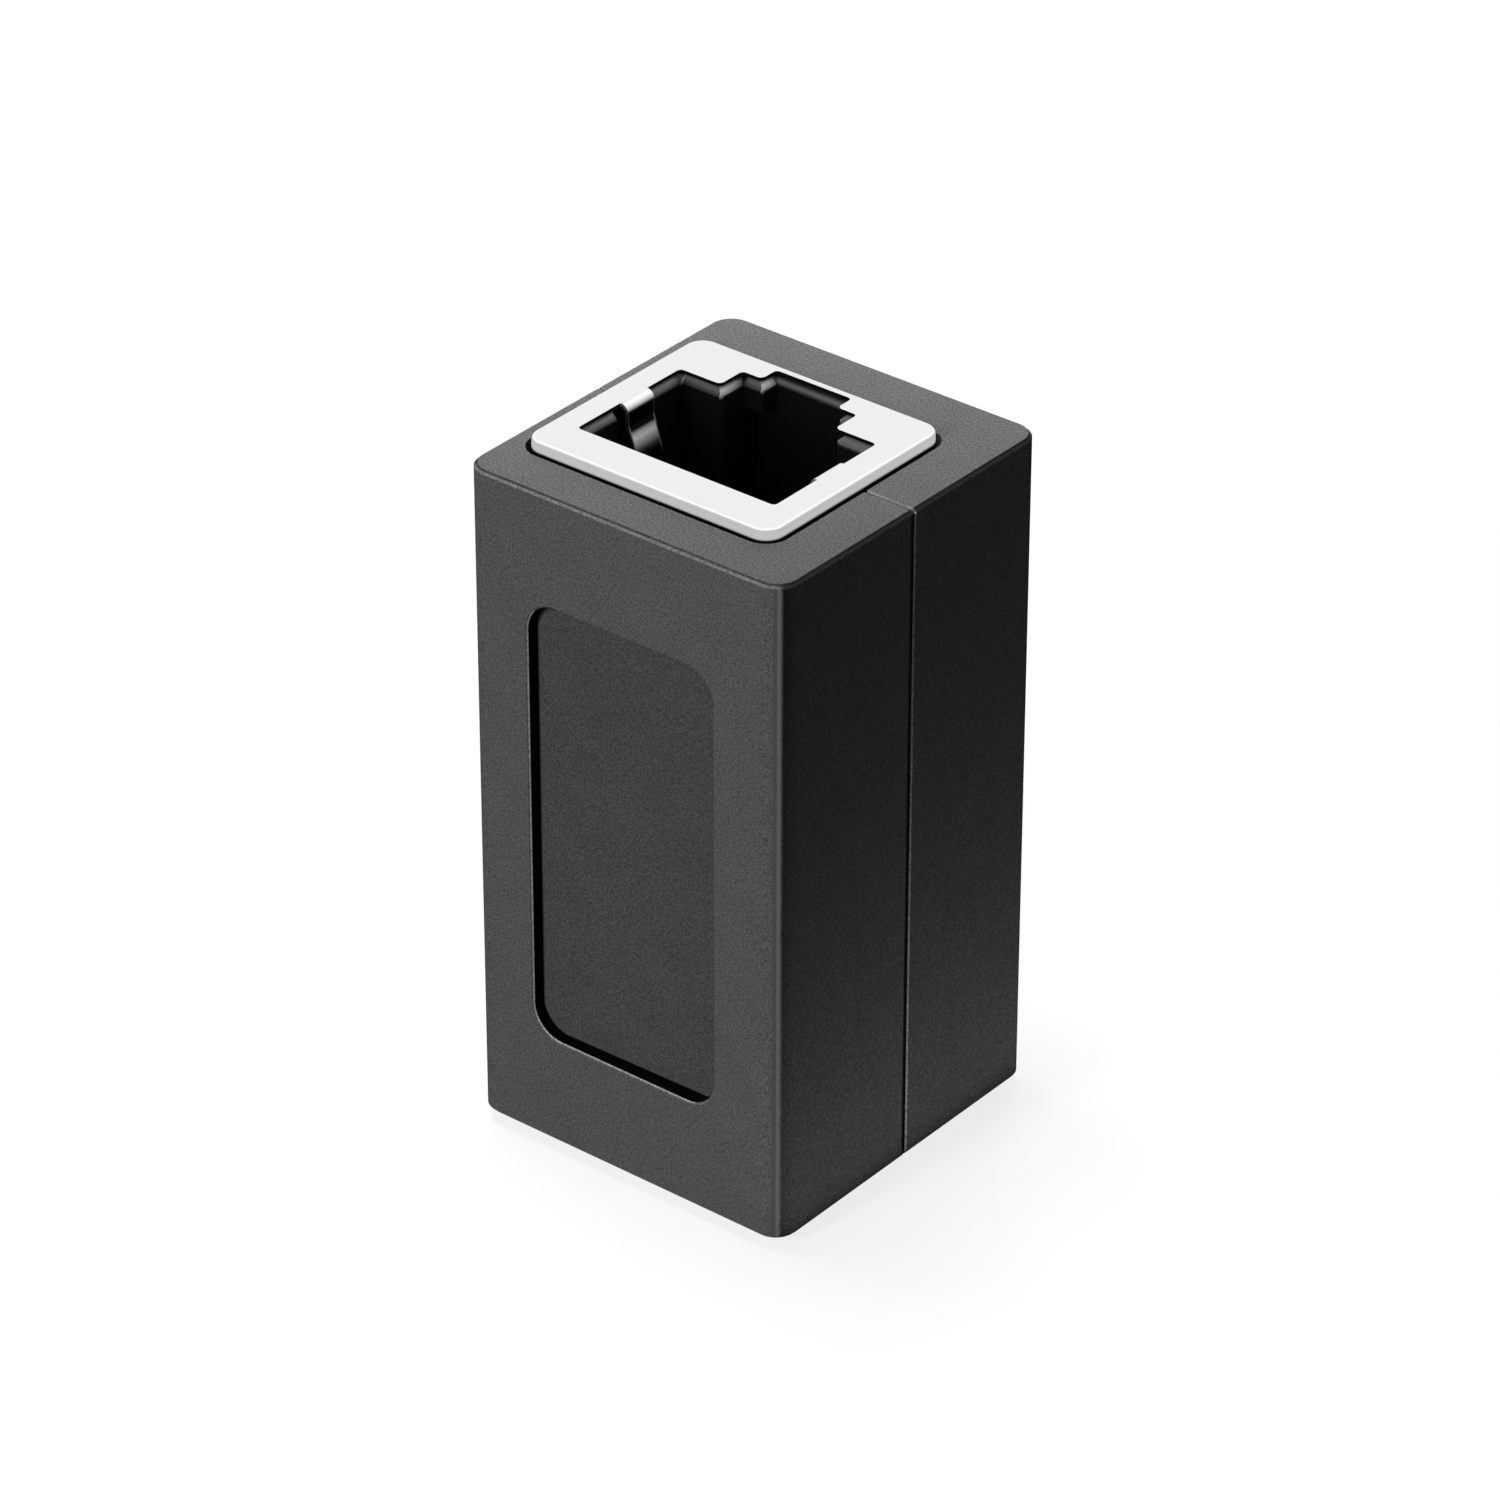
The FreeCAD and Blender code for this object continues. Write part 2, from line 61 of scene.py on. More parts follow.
# Plug opening and ground tabs, as the shield has them
sheet = 0.2 * MM
opening_half_width = 6.05 * MM
opening_front_y = shield_low.y + 2.25 * MM
opening_rear_y = shield_high.y - 0.5 * MM
tab_y = opening_front_y + 4.24 * MM
tab_half_width = 1.0 * MM
tab_tip_half_width = 0.85 * MM
tab_tip_depth = 4.6 * MM

# Label recess, as the front shell has it
recess_half_width = 11.45 / 2 * MM
recess_half_height = 24.7 / 2 * MM
recess_x = -0.15 * MM
recess_bevel = 0.1 * MM
recess_depth = 0.78 * MM

# Rim, parting line and upright corners of the housing
rim_bevel = 0.19 * MM
parting_bevel = 0.08 * MM
parting_gap = 0.22 * MM
corner_radius = 1.3 * MM

# How far a mask on the housing keeps off the face beside it
hair = 0.004 * MM

# Camera, at the photograph's place. Angles are in degrees, the lens and the sensor in millimetres.
camera_place = (0.180314, -0.223538, 0.194237)
camera_azimuth = 38.926
camera_elevation = 31.175
camera_roll = 0.059
camera_lens = 164.353
camera_sensor = 36.0


def linear(hex_colour):
    """An sRGB colour such as "#808080" as linear red, green, blue and full alpha."""
    parts = [int(hex_colour[i:i + 2], 16) / 255 for i in (1, 3, 5)]
    return [p / 12.92 if p <= 0.04045 else ((p + 0.055) / 1.055) ** 2.4 for p in parts] + [1]


def add(tree, kind, inputs, **settings):
    """Adds a node and gives its first output. An input takes a value, or an output that is linked to it."""
    node = tree.nodes.new(kind)
    for name, value in settings.items():
        setattr(node, name, value)
    for name, value in inputs.items():
        socket = [s for i, s in enumerate(node.inputs) if s.enabled and name in (i, s.name)][0]
        if isinstance(value, bpy.types.NodeSocket):
            tree.links.new(value, socket)
        else:
            socket.default_value = value
    shown = [s for s in node.outputs if s.enabled]
    return shown[0] if shown else None


def new_material(name):
    """An empty material, its node tree, and the object's own coordinates in it."""
    material = bpy.data.materials.new(name)
    material.use_nodes = True
    tree = material.node_tree
    tree.nodes.clear()
    return material, tree, add(tree, "ShaderNodeTexCoord", {}).node.outputs["Object"]


def product(tree, *factors):
    """The factors multiplied. For masks that is 1 where all of them are 1."""
    result = factors[0]
    for factor in factors[1:]:
        result = add(tree, "ShaderNodeMath", {0: result, 1: factor}, operation="MULTIPLY")
    return result


def within(tree, *ranges):
    """A mask: 1 where each value lies between its two limits, and 0 elsewhere. None leaves an end open."""
    sides = []
    for value, low, high in ranges:
        for operation, limit in (("GREATER_THAN", low), ("LESS_THAN", high)):
            if limit is not None:
                sides.append(add(tree, "ShaderNodeMath", {0: value, 1: limit}, operation=operation))
    return product(tree, *sides)


def painted(tree, colour, *layers):
    """A colour with tints laid over it in turn, each where its mask is 1. Colours are hex values or outputs."""
    for mask, tint in layers:
        under, over = [linear(c) if isinstance(c, str) else c for c in (colour, tint)]
        colour = add(tree, "ShaderNodeMix", {"Factor": mask, "A": under, "B": over}, data_type="RGBA")
    return colour


def distance_from(tree, value, middle):
    """How far a coordinate lies from a middle, on either side of it."""
    shifted = add(tree, "ShaderNodeMath", {0: value, 1: middle}, operation="SUBTRACT")
    return add(tree, "ShaderNodeMath", {0: shifted}, operation="ABSOLUTE")


def end_sign(tree, z):
    """1 in the part's upper half and -1 in its lower half, which is the same turned half round."""
    above = add(tree, "ShaderNodeMath", {0: z, 1: middle_z}, operation="SUBTRACT")
    return add(tree, "ShaderNodeMath", {0: above}, operation="SIGN")


def leaning_normal(tree, lean):
    """The surface's normal, leant over by a vector."""
    normal = add(tree, "ShaderNodeNewGeometry", {}).node.outputs["Normal"]
    normal = add(tree, "ShaderNodeVectorMath", {0: normal, 1: lean}, operation="ADD")
    return add(tree, "ShaderNodeVectorMath", {0: normal}, operation="NORMALIZE")


def grain_strength(tree, place, grain):
    """The brightness of the housing's speckle, and of faint clouds in it. 1 leaves the colour as it is."""
    cloud_size = 2.5 * MM
    low, high = 0.3, 0.7
    cloud = add(tree, "ShaderNodeTexNoise", {"Vector": place, "Scale": 1 / cloud_size, "Detail": 2})
    speckle = add(tree, "ShaderNodeMapRange",
                  {"Value": grain, "From Min": low, "From Max": high, "To Min": 0.50, "To Max": 1.50})
    cloudy = add(tree, "ShaderNodeMapRange",
                 {"Value": cloud, "From Min": low, "From Max": high, "To Min": 0.96, "To Max": 1.04})
    return product(tree, speckle, cloudy)


def upper_face_painted_light(tree, x, y, z):
    """The upper face has painted light: it grows paler from its front right corner to its rear left one. 1 everywhere
    else.
    """
    half_way = 20 * MM
    to_rear_left = add(tree, "ShaderNodeMath", {0: y, 1: x}, operation="SUBTRACT")
    painted_paler = add(tree, "ShaderNodeMapRange", {"Value": to_rear_left, "From Min": -half_way, "From Max": half_way,
                                             "To Min": 0.80, "To Max": 1.34})
    upper_face = within(tree, (z, housing_high.z - hair, None))
    return add(tree, "ShaderNodeMix", {"Factor": upper_face, "A": 1.0, "B": painted_paler})


def recess_layers(tree, x, y, z, off_z):
    """The label recess: painted highlight lines on its left and lower edges, painted shade on its walls, and a darker
    floor.
    """
    highlight_start = 0.45 * recess_bevel
    left_highlight_end = recess_x - recess_half_width + 0.4 * MM
    low_edge = middle_z - recess_half_height
    corner = 1.2 * MM
    off_x = distance_from(tree, x, recess_x)
    sunk = add(tree, "ShaderNodeMath", {0: y, 1: label_face_y}, operation="SUBTRACT")
    in_recess = within(tree, (off_x, None, recess_half_width + 2 * recess_bevel),
                       (off_z, None, recess_half_height + 2 * recess_bevel))
    # The bevel's lower part, with painted highlight lines along the left and lower edges
    bevel_highlight = product(tree, in_recess, within(tree, (sunk, highlight_start, recess_bevel)))
    left_highlight = product(tree, bevel_highlight, within(tree, (x, None, left_highlight_end)))
    low_highlight = product(tree, bevel_highlight, within(tree, (z, None, low_edge + corner),
                                               (x, None, recess_x + recess_half_width - corner)))
    # Painted shade on the walls, and the darker floor
    shaded_wall = product(tree, in_recess, within(tree, (sunk, recess_bevel, recess_depth - hair)))
    floor = product(tree, in_recess, within(tree, (sunk, recess_depth - hair, recess_depth + MM)))

    # The shade on the floor at the foot of the lower wall, which grows higher to the right
    shade_span = 5 * MM
    most_shade = 0.15 * MM
    shade_height = add(tree, "ShaderNodeMapRange", {"Value": x, "From Min": -shade_span,
                                                    "From Max": shade_span, "To Max": most_shade})
    above_edge = add(tree, "ShaderNodeMath", {0: z, 1: low_edge}, operation="SUBTRACT")
    floor_shade = product(tree, floor, within(tree, (above_edge, None, shade_height)))
    return ((low_highlight, "#989898"), (left_highlight, "#A0A0A0"), (shaded_wall, "#060606"), (floor, "#4E4E4E"),
            (floor_shade, "#060606"))


def rim_layers(tree, x, y, off_z, to_side):
    """The rims at both ends: a painted shade line at the top of the bevel and a painted highlight line under it, both
    painted darker on the sides, as shade.
    """
    band_x = 3 * MM
    band_y = 1.5 * MM
    split = housing_reach - 0.45 * rim_bevel
    outside = add(tree, "ShaderNodeMath",
                  {0: within(tree, (distance_from(tree, x, 0), side_x - band_x, None)),
                   1: within(tree, (distance_from(tree, y, 0), rear_face_y - band_y, None))},
                  operation="MAXIMUM")
    parting = within(tree, (y, -hair, parting_bevel - hair))
    beside_parting = add(tree, "ShaderNodeMath", {0: 1, 1: parting}, operation="SUBTRACT")
    on_rim = product(tree, outside, beside_parting)
    # A painted shade line and a painted highlight line on the bevel
    rim_shade_line = product(tree, within(tree, (off_z, split, housing_reach - hair)), on_rim)
    rim_highlight_line = product(tree, within(tree, (off_z, housing_reach - rim_bevel, split)), on_rim)
    return ((rim_shade_line, painted(tree, "#3C3C3C", (to_side, "#262626"))),
            (rim_highlight_line, painted(tree, "#666666", (to_side, "#303030"))))


def parting_layers(tree, x, y, off_z, upright):
    """The parting line: painted shade in and beside the groove and a painted highlight on its rear edge down the
    sides, and painted light over the end faces.
    """
    shaded_edge = 0.14 * MM
    top_depth = 0.5 * MM
    groove = within(tree, (y, -parting_gap - hair, hair))
    shaded_front_edge = within(tree, (y, -parting_gap - shaded_edge, -parting_gap - hair))
    highlight_edge = within(tree, (y, hair, parting_bevel - hair))
    shaded_part = add(tree, "ShaderNodeMath", {0: groove, 1: shaded_front_edge}, operation="MAXIMUM")
    at_side = within(tree, (distance_from(tree, x, 0), side_x - 2 * parting_bevel, None))
    inwards = add(tree, "ShaderNodeMath", {0: 1, 1: at_side}, operation="SUBTRACT")
    on_top = product(tree, inwards, within(tree, (off_z, housing_reach - top_depth, None)))
    # Painted shade and a painted highlight down the sides, and painted light over the end faces
    return ((product(tree, shaded_part, at_side, upright), "#040404"),
            (product(tree, highlight_edge, at_side, upright), "#C4C4C4"),
            (product(tree, highlight_edge, on_top), "#707070"),
            (product(tree, groove, on_top), "#9C9C9C"))


def make_black_abs():
    """Black ABS, moulded in a spark-eroded mould: matt, with a fine pitted grain."""
    material, tree, place = new_material("black_abs_spark_grain")
    x, y, z = add(tree, "ShaderNodeSeparateXYZ", {0: place}).node.outputs
    off_z = distance_from(tree, z, middle_z)
    upright = within(tree, (off_z, None, housing_reach - rim_bevel - hair))

    # Round an upright corner: across is below 0 towards the front or rear face and above 0 towards the side
    turn_start, turn_end = -0.12 * MM, 0.24 * MM
    past_x = add(tree, "ShaderNodeMath", {0: distance_from(tree, x, 0), 1: side_x - corner_radius},
                 operation="SUBTRACT")
    past_y = add(tree, "ShaderNodeMath", {0: distance_from(tree, y, 0), 1: rear_face_y - corner_radius},
                 operation="SUBTRACT")
    across = add(tree, "ShaderNodeMath", {0: past_x, 1: past_y}, operation="SUBTRACT")
    to_side = add(tree, "ShaderNodeMapRange", {"Value": across, "From Min": turn_start, "From Max": turn_end})

    # The grain's brightness and the upper face's painted light act on every tone but those of the crease at the
    # corners
    grain_size = 0.11 * MM
    grain_depth = 0.02 * MM
    grain = add(tree, "ShaderNodeTexNoise",
                {"Vector": place, "Scale": 1 / grain_size, "Detail": 3, "Roughness": 0.6})
    strength = product(tree, grain_strength(tree, place, grain), upper_face_painted_light(tree, x, y, z))
    shade = add(tree, "ShaderNodeCombineXYZ", {0: strength, 1: strength, 2: strength})
    colour = painted(tree, "#5C5C5C", *recess_layers(tree, x, y, z, off_z),
                     *rim_layers(tree, x, y, off_z, to_side), *parting_layers(tree, x, y, off_z, upright))
    colour = add(tree, "ShaderNodeMix", {"Factor": 1, "A": colour, "B": shade},
                 data_type="RGBA", blend_type="MULTIPLY")

    # The upright corners: a painted highlight line halfway round each one, at the crease, with a painted shade line
    # before it
    shade_start, crease_start, crease_end = -0.5 * MM, -0.22 * MM, 0.02 * MM
    in_corner = product(tree, within(tree, (past_x, 0, None), (past_y, 0, None)), upright)
    corner_shade_line = product(tree, in_corner, within(tree, (across, shade_start, crease_start)))
    crease_highlight = product(tree, in_corner, within(tree, (across, crease_start, crease_end)))
    colour = painted(tree, colour, (corner_shade_line, "#545454"), (crease_highlight, "#6A6A6A"))

    # The shading normal there is that of the front or rear face, or of the side, and turns at the crease
    to_front = add(tree, "ShaderNodeMath", {0: 1, 1: to_side}, operation="SUBTRACT")
    sign_x = add(tree, "ShaderNodeMath", {0: x}, operation="SIGN")
    sign_y = add(tree, "ShaderNodeMath", {0: y}, operation="SIGN")
    flat = add(tree, "ShaderNodeCombineXYZ",
               {0: product(tree, to_side, sign_x), 1: product(tree, to_front, sign_y)})
    flat = add(tree, "ShaderNodeVectorMath", {0: flat}, operation="NORMALIZE")
    round_normal = add(tree, "ShaderNodeNewGeometry", {}).node.outputs["Normal"]
    normal = add(tree, "ShaderNodeMix", {"Factor": in_corner, "A": round_normal, "B": flat}, data_type="VECTOR")
    bump = add(tree, "ShaderNodeBump",
               {"Strength": 0.5, "Distance": grain_depth, "Height": grain, "Normal": normal})
    shader = add(tree, "ShaderNodeBsdfPrincipled",
                 {"Base Color": colour, "Roughness": 0.62, "IOR": 1.53, "Specular IOR Level": 0.012,
                  "Normal": bump})
    add(tree, "ShaderNodeOutputMaterial", {"Surface": shader})
    return material


def tab_painted_reflections(tree, depth, off_tab):
    """Painted reflections on a curled ground tab: light and dark bands by its depth below the face, and painted
    highlights on its edges.
    """
    ramp_depth = 4 * MM
    edge_width = 0.07 * MM
    edge_start = 0.4 * MM
    # The painted reflection bands: depth in millimetres and colour
    reflection_bands = ((0.08, "#FFFFFF"), (0.46, "#101010"), (1.45, "#101010"), (1.67, "#C0C0C0"), (1.87, "#DCDCDC"),
             (2.2, "#A4A4A4"), (2.42, "#585858"), (2.56, "#2A2A2A"), (2.72, "#0A0A0A"))
    along = add(tree, "ShaderNodeMapRange", {"Value": depth, "From Max": ramp_depth})
    ramp = add(tree, "ShaderNodeValToRGB", {0: along})
    stops = ramp.node.color_ramp.elements
    for depth_mm, hex_colour in reflection_bands:
        stops.new(depth_mm * MM / ramp_depth).color = linear(hex_colour)
    # A new ramp has a first and a last stop of its own
    stops.remove(stops[0])
    stops.remove(stops[-1])
    edge_from = add(tree, "ShaderNodeMapRange", {"Value": depth, "From Max": tab_tip_depth,
                                                 "To Min": tab_half_width - edge_width,
                                                 "To Max": tab_tip_half_width - edge_width})
    tab_edge_highlight = within(tree, (off_tab, edge_from, None), (depth, edge_start, None))
    return painted(tree, ramp, (tab_edge_highlight, "#787878"))


def make_nickel():
    """Bright nickel plate on drawn sheet: satin, with raw edges where the tool cut the opening, painted dark as shade.
    """
    material, tree, place = new_material("nickel_plated_sheet")
    x, y, z = add(tree, "ShaderNodeSeparateXYZ", {0: place}).node.outputs
    off_x = distance_from(tree, x, jack_x)
    off_z = distance_from(tree, z, middle_z)
    off_tab = distance_from(tree, y, tab_y)
    depth = add(tree, "ShaderNodeMath", {0: shield_reach, 1: off_z}, operation="SUBTRACT")

    # The folded edge with its painted highlight, the sides under it, and the opening with its tabs. Masks there reach
    # past the edges by a margin.
    margin = 0.01 * MM
    fold_start, fold_end = 0.02 * MM, 0.10 * MM
    fold_highlight = within(tree, (off_z, shield_reach - fold_end, shield_reach - fold_start))
    side = within(tree, (off_z, None, shield_reach - fold_end))
    in_opening = within(tree, (off_x, None, opening_half_width + margin),
                        (y, opening_front_y - margin, opening_rear_y + margin))
    # Painted shade on the raw cut edges of the opening, beside the tabs
    cut_edge_shade = product(tree, in_opening, within(tree, (off_z, shield_reach - sheet - margin, shield_reach - margin),
                                                (off_tab, tab_half_width + margin, None)))
    on_tab = product(tree, in_opening, within(tree, (off_tab, None, tab_half_width + margin),
                                              (depth, fold_start, None)))

    # The sides start a little darker under the folded edge, and below the housing's face the sheet is painted near
    # black, as shade in the gap
    full_tone = 0.34 * MM
    gap_start, gap_end = 0.55 * MM, 0.65 * MM
    past_fold = add(tree, "ShaderNodeMapRange", {"Value": depth, "From Min": fold_end, "From Max": full_tone})
    gap_shade = add(tree, "ShaderNodeMapRange", {"Value": depth, "From Min": gap_start, "From Max": gap_end})
    side_tone = painted(tree, "#CCCCCC", (past_fold, "#F4F4F4"))
    # Painted highlight on the folded edge, painted shade in the gap, painted reflections on the tabs, painted shade on
    # the cut edges
    colour = painted(tree, "#F3F3F3", (fold_highlight, "#FFFFFF"), (side, side_tone), (gap_shade, "#101010"),
                     (on_tab, tab_painted_reflections(tree, depth, off_tab)), (cut_edge_shade, "#181818"))

    cloud_size = 1.8 * MM
    tab_roughness = 0.38
    cloud = add(tree, "ShaderNodeTexNoise", {"Vector": place, "Scale": 1 / cloud_size, "Detail": 3})
    rough = add(tree, "ShaderNodeMapRange",
                {"Value": cloud, "From Min": 0.3, "From Max": 0.7, "To Min": 0.66, "To Max": 0.72})
    rough = add(tree, "ShaderNodeMix", {"Factor": on_tab, "A": rough, "B": tab_roughness})

    # The drawn walls and the springs are slightly bellied, which leans their shading towards the nearer end
    side_belly, tab_belly = 0.27, 0.16
    belly = add(tree, "ShaderNodeMix", {"Factor": on_tab, "A": product(tree, side, side_belly), "B": tab_belly})
    lean = add(tree, "ShaderNodeCombineXYZ", {2: product(tree, belly, end_sign(tree, z))})
    skin_size = 0.5 * MM
    skin_depth = 0.004 * MM
    skin = add(tree, "ShaderNodeTexNoise", {"Vector": place, "Scale": 1 / skin_size, "Detail": 2})
    bump = add(tree, "ShaderNodeBump", {"Strength": 0.15, "Distance": skin_depth, "Height": skin,
                                        "Normal": leaning_normal(tree, lean)})
    shader = add(tree, "ShaderNodeBsdfPrincipled",
                 {"Base Color": colour, "Metallic": 1.0, "Roughness": rough, "Normal": bump})
    add(tree, "ShaderNodeOutputMaterial", {"Surface": shader})
    return material


def make_black_pbt():
    """Black glass-filled PBT, moulded smooth, with light painted as a grey band at the mouth, where light reaches it.
    """
    material, tree, place = new_material("black_pbt")
    x, _, z = add(tree, "ShaderNodeSeparateXYZ", {0: place}).node.outputs
    off_z = distance_from(tree, z, middle_z)
    leftward = add(tree, "ShaderNodeMath", {0: jack_x, 1: x}, operation="SUBTRACT")

    # What lies at the bay's left wall or beyond it, and every wall that faces right, such as those of the steps. There
    # the painted light is paler.
    wall_margin = 0.1 * MM
    least_turn = 0.6
    main_left = within(tree, (leftward, opening_half_width - wall_margin, None))
    normal = add(tree, "ShaderNodeNewGeometry", {}).node.outputs["Normal"]
    facing_right = within(tree, (add(tree, "ShaderNodeSeparateXYZ", {0: normal}), least_turn, None))
    at_left = add(tree, "ShaderNodeMath", {0: main_left, 1: facing_right}, operation="MAXIMUM")
    one_only = add(tree, "ShaderNodeMath", {0: main_left, 1: facing_right}, operation="SUBTRACT")
    one_only = add(tree, "ShaderNodeMath", {0: one_only}, operation="ABSOLUTE")

    # The painted light band comes up out of the dark over the bevel's lower edge, and fades again under the sheet, as
    # painted shade.
    # Away from the left walls it begins higher up the further left it is.
    band_edge = shield_reach - 0.67 * MM
    band_start, band_full = band_edge - 0.3 * MM, band_edge + 0.12 * MM
    sheet_shade_start, sheet_shade_end = band_edge + 0.10 * MM, band_edge + 0.34 * MM
    half_span = 5 * MM
    most_rise = 0.16 * MM
    rise = add(tree, "ShaderNodeMapRange", {"Value": leftward, "From Min": -half_span, "From Max": half_span})
    rise = add(tree, "ShaderNodeMix", {"Factor": at_left, "A": rise, "B": 0.0})
    band_z = add(tree, "ShaderNodeMath", {0: off_z, 1: product(tree, rise, most_rise)}, operation="SUBTRACT")
    in_band = add(tree, "ShaderNodeMapRange", {"Value": band_z, "From Min": band_start, "From Max": band_full},
                  interpolation_type="SMOOTHSTEP")
    under_sheet = add(tree, "ShaderNodeMapRange", {"Value": off_z, "From Min": sheet_shade_start,
                                                   "From Max": sheet_shade_end, "To Min": 1.0, "To Max": 0.1})
    lit = product(tree, in_band, under_sheet)
    lit_left = product(tree, lit, at_left)
    # Painted light: a grey band on black, paler at the left walls
    colour = painted(tree, "#080808", (lit, painted(tree, "#767676", (at_left, "#F0F0F0"))))
    rough = add(tree, "ShaderNodeMapRange", {"Value": lit, "To Min": 0.5, "To Max": 0.4})

    # The left walls have a little painted sheen, a touch of metal. Their shading leans right, forwards and outwards,
    # to mirror the pale room.
    usual_sheen, more_sheen = 0.13, 0.21
    sheen = add(tree, "ShaderNodeMix", {"Factor": one_only, "A": usual_sheen, "B": more_sheen})
    sheen = product(tree, lit_left, sheen)
    lean_right, lean_forwards, lean_outwards = 0.4, -0.5, 0.2
    rounding = add(tree, "ShaderNodeCombineXYZ", {0: lean_right, 1: lean_forwards,
                                                  2: product(tree, end_sign(tree, z), lean_outwards)})
    lean = add(tree, "ShaderNodeVectorMath", {0: rounding, "Scale": lit_left}, operation="SCALE")
    grain_size = 0.2 * MM
    grain_depth = 0.006 * MM
    grain = add(tree, "ShaderNodeTexNoise", {"Vector": place, "Scale": 1 / grain_size, "Detail": 2})
    bump = add(tree, "ShaderNodeBump", {"Strength": 0.3, "Distance": grain_depth, "Height": grain,
                                        "Normal": leaning_normal(tree, lean)})
    shader = add(tree, "ShaderNodeBsdfPrincipled",
                 {"Base Color": colour, "Metallic": sheen, "Roughness": rough, "IOR": 1.55,
                  "Specular IOR Level": 0.2, "Normal": bump})
    add(tree, "ShaderNodeOutputMaterial", {"Surface": shader})
    return material


def make_gold_flash():
    """Phosphor bronze wire with a thin gold flash: smooth and warm, with faint lines along it."""
    material, tree, place = new_material("gold_flashed_bronze")
    line_width = 0.05 * MM
    line_depth = 0.002 * MM
    stretch = 0.02
    drawn = add(tree, "ShaderNodeMapping", {"Vector": place, "Scale": (1, stretch, stretch)})
    lines = add(tree, "ShaderNodeTexNoise", {"Vector": drawn, "Scale": 1 / line_width, "Detail": 2})
    rough = add(tree, "ShaderNodeMapRange", {"Value": lines, "To Min": 0.3, "To Max": 0.42})
    bump = add(tree, "ShaderNodeBump", {"Strength": 0.2, "Distance": line_depth, "Height": lines})
    shader = add(tree, "ShaderNodeBsdfPrincipled",
                 {"Base Color": linear("#E8C77A"), "Metallic": 1.0, "Roughness": rough, "Normal": bump})
    add(tree, "ShaderNodeOutputMaterial", {"Surface": shader})
    return material


def make_board_laminate():
    """Glass-epoxy board under green solder mask: glossy, with the weave faintly showing."""
    material, tree, place = new_material("green_masked_laminate")
    x, y, _ = add(tree, "ShaderNodeSeparateXYZ", {0: place}).node.outputs
    strand = 0.5 * MM
    weave_depth = 0.005 * MM
    warp, weft = [add(tree, "ShaderNodeMath", {0: product(tree, value, 2 * math.pi / strand)}, operation="SINE")
                  for value in (x, y)]
    weave = product(tree, warp, weft)
    spread = add(tree, "ShaderNodeMapRange", {"Value": weave, "From Min": -1, "From Max": 1})
    colour = painted(tree, "#1E5A30", (spread, "#236838"))
    bump = add(tree, "ShaderNodeBump", {"Strength": 0.2, "Distance": weave_depth, "Height": weave})
    shader = add(tree, "ShaderNodeBsdfPrincipled",
                 {"Base Color": colour, "Roughness": 0.3, "IOR": 1.5, "Normal": bump})
    add(tree, "ShaderNodeOutputMaterial", {"Surface": shader})
    return material


def dress_nodes():
    """Gives every piece of the frame the finish of its slot in the record."""
    finishes = {
        "housing": make_black_abs(),
        "shield": make_nickel(),
        "insert": make_black_pbt(),
        "contact": make_gold_flash(),
        "board": make_board_laminate(),
    }
    finishes["carrier"] = finishes["insert"]
    for subpart in frame["record"]["subparts"]:
        piece = nodes[subpart["node"]]
        piece.data.materials.clear()
        piece.data.materials.append(finishes[subpart["material_slot"]])


def seen_rays(tree):
    """1 for rays that come from the camera, from a mirror or through glass, and 0 for the light's own."""
    path = add(tree, "ShaderNodeLightPath", {}).node.outputs
    seen = add(tree, "ShaderNodeMath", {0: path["Is Camera Ray"], 1: path["Is Glossy Ray"]}, operation="MAXIMUM")
    return add(tree, "ShaderNodeMath", {0: seen, 1: path["Is Transmission Ray"]}, operation="MAXIMUM")


def make_floor():
    """A pale studio floor. To the eye most of it glows white, and the rest keeps the object's shadow."""
    floor_width = 4
    bpy.ops.mesh.primitive_plane_add(size=floor_width, location=(0, 0, 0))
    floor = bpy.context.object
    floor.name = "floor"
    material, tree, place = new_material("pale_studio_paper")
    fibre_size = 0.6 * MM
    white_share = 0.82
    fibre = add(tree, "ShaderNodeTexNoise", {"Vector": place, "Scale": 1 / fibre_size, "Detail": 2})
    paper = painted(tree, "#EFEFEF", (fibre, "#F4F4F4"))
    seen = seen_rays(tree)
    matt = add(tree, "ShaderNodeBsdfDiffuse", {"Color": painted(tree, "#3C3C3C", (seen, paper))})
    white = add(tree, "ShaderNodeEmission", {"Color": (1, 1, 1, 1), "Strength": 1.0})
    mix = add(tree, "ShaderNodeMixShader", {0: product(tree, seen, white_share), 1: matt, 2: white})
    add(tree, "ShaderNodeOutputMaterial", {"Surface": mix})
    floor.data.materials.append(material)


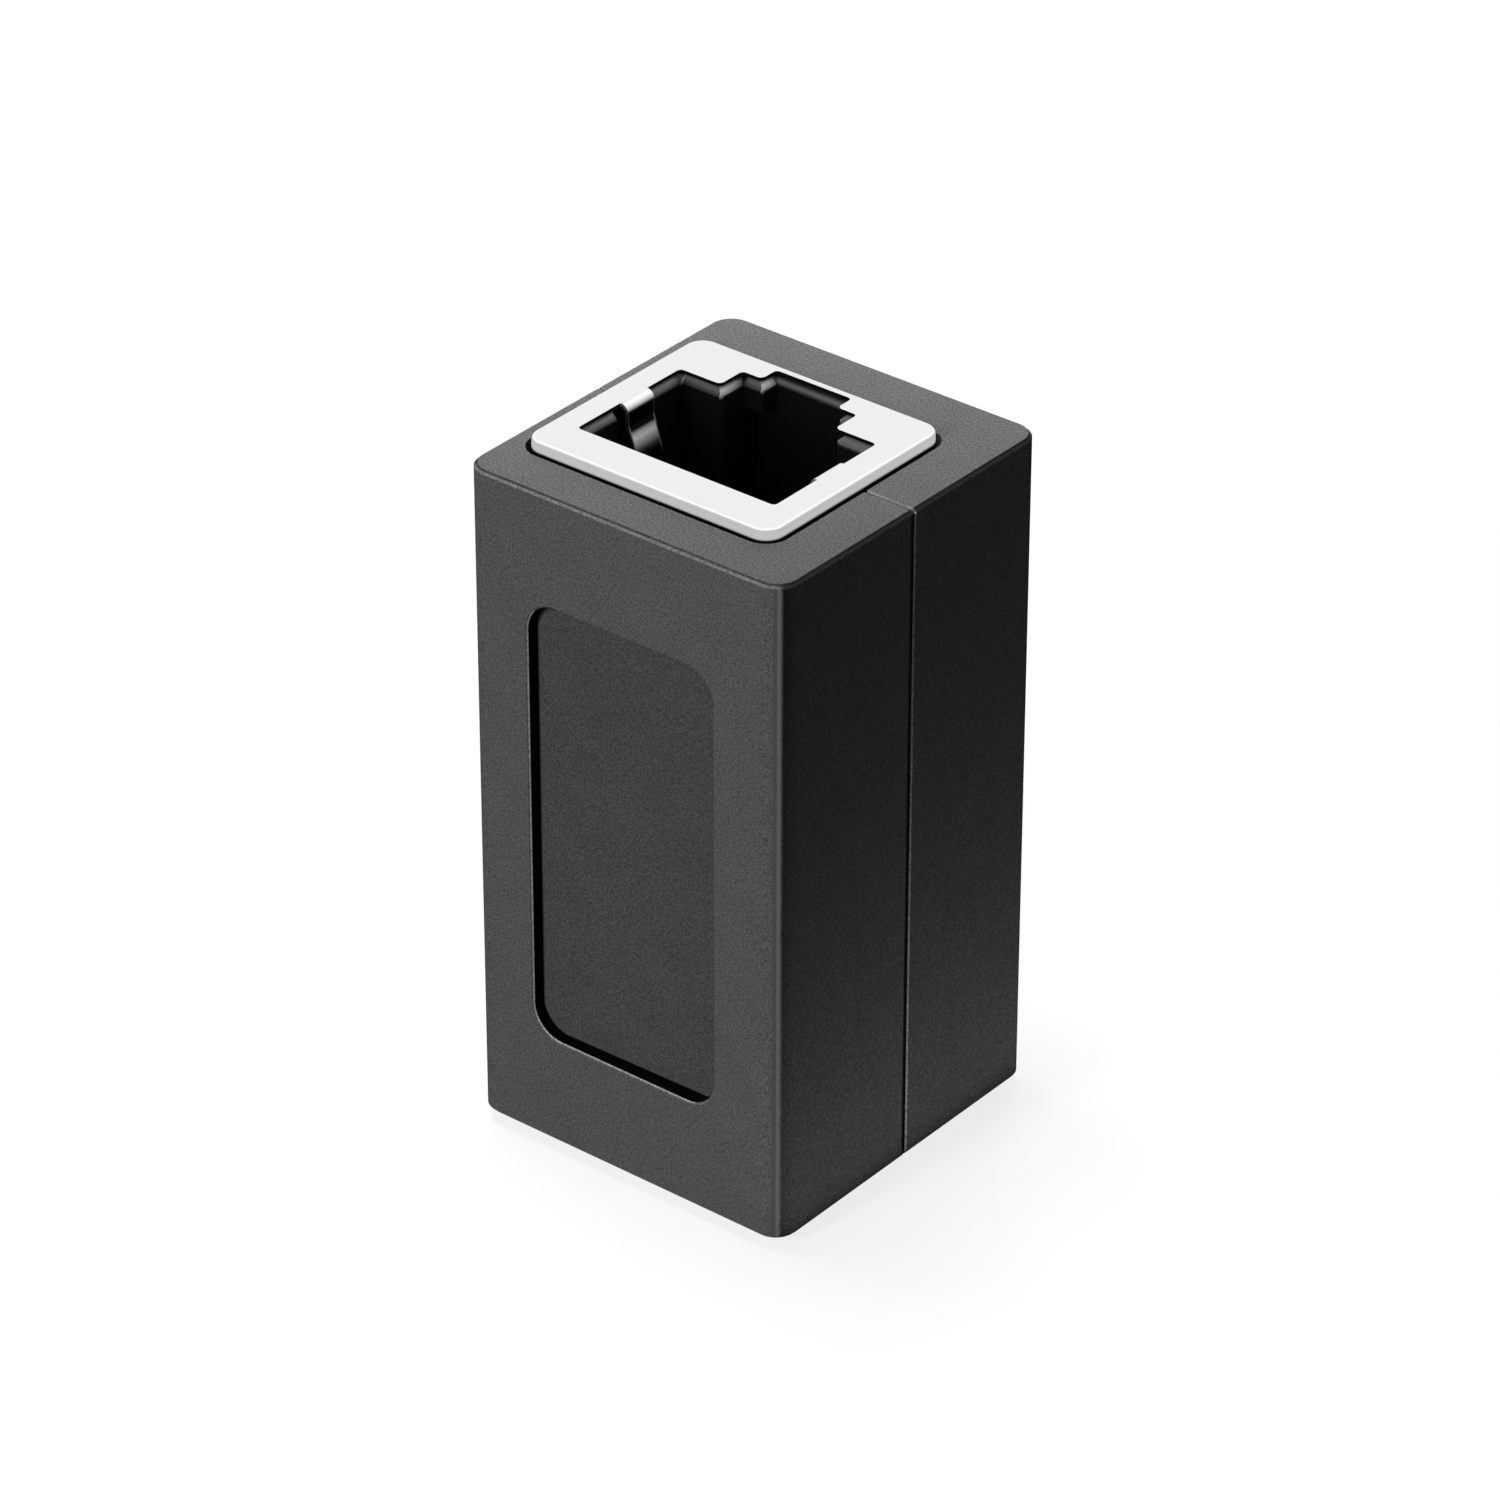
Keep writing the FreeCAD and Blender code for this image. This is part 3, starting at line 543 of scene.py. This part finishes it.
def make_light(name, place, aim, width, depth, power):
    """A soft rectangular light at a place, facing a point. Its power is in watts."""
    data = bpy.data.lights.new(name, "AREA")
    data.shape = "RECTANGLE"
    data.size = width
    data.size_y = depth
    data.energy = power
    light = bpy.data.objects.new(name, data)
    bpy.context.scene.collection.objects.link(light)
    light.location = place
    light.rotation_euler = (aim - light.location).to_track_quat("-Z", "Y").to_euler()
    light.visible_camera = False
    light.visible_glossy = False


def light_scene():
    """Three softboxes, a weak card that lifts the right side near the floor, and a world that is white to the eye."""
    centre = (cad_low + cad_high) / 2
    make_light("overhead_softbox", (-0.10, 0.0, 0.60), centre, width=0.16, depth=0.24, power=3.3)
    make_light("front_softbox", (-0.06, -0.62, 0.296), centre, width=0.10, depth=0.30, power=3.15)
    make_light("rear_softbox", (-0.30, 0.52, 0.30), centre, width=0.30, depth=0.30, power=2.4)
    card = Vector((side_x + 10 * MM, centre.y, 0.5 * MM))
    make_light("floor_card", card, card + Vector((0, 0, 1)), width=18 * MM, depth=36 * MM, power=0.0017)

    fill = 0.015
    world = bpy.data.worlds.new("studio")
    bpy.context.scene.world = world
    world.use_nodes = True
    tree = world.node_tree
    tree.nodes.clear()
    strength = add(tree, "ShaderNodeMapRange", {"Value": seen_rays(tree), "To Min": fill, "To Max": 1.0})
    sky = add(tree, "ShaderNodeBackground", {"Color": (1, 1, 1, 1), "Strength": strength})
    add(tree, "ShaderNodeOutputWorld", {"Surface": sky})


def set_camera():
    """The camera, at the photograph's place and angle."""
    data = bpy.data.cameras.new("camera")
    data.lens = camera_lens
    data.sensor_width = camera_sensor
    data.clip_start = 10 * MM
    camera = bpy.data.objects.new("camera", data)
    bpy.context.scene.collection.objects.link(camera)
    turn = Euler((math.radians(90 - camera_elevation), 0, math.radians(camera_azimuth)))
    roll = Matrix.Rotation(math.radians(camera_roll), 4, "Z")
    camera.matrix_world = Matrix.Translation(camera_place) @ turn.to_matrix().to_4x4() @ roll
    bpy.context.scene.camera = camera


set_camera()
dress_nodes()
make_floor()
light_scene()
bpy.context.scene.view_settings.view_transform = "Standard"
